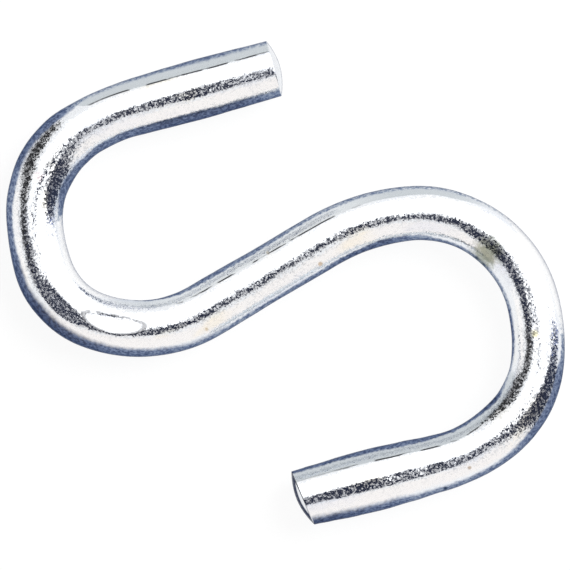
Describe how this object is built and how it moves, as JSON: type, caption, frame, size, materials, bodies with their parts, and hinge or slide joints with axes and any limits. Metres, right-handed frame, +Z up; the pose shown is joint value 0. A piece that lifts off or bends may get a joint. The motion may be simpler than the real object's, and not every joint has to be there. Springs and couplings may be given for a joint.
{
  "type": "s hook",
  "caption": "Open S-shaped hook bent flat from round zinc-plated steel rod, with one wide and one narrower crook and cropped ends.",
  "frame": {"origin": "middle of the outline, on the surface that the hook lies on", "axes": "+X along the longest reach, towards the wide hook; +Z up from the surface, along the hook's thickness"},
  "size_m": [0.05, 0.0354, 0.0054],
  "materials": {
    "zinc_plate": "bright blue-white zinc plating over drawn steel rod, fine-grained, with small stains and tool marks"
  },
  "bodies": {
    "root": {"s_hook": "zinc_plate"}
  },
  "joints": []
}
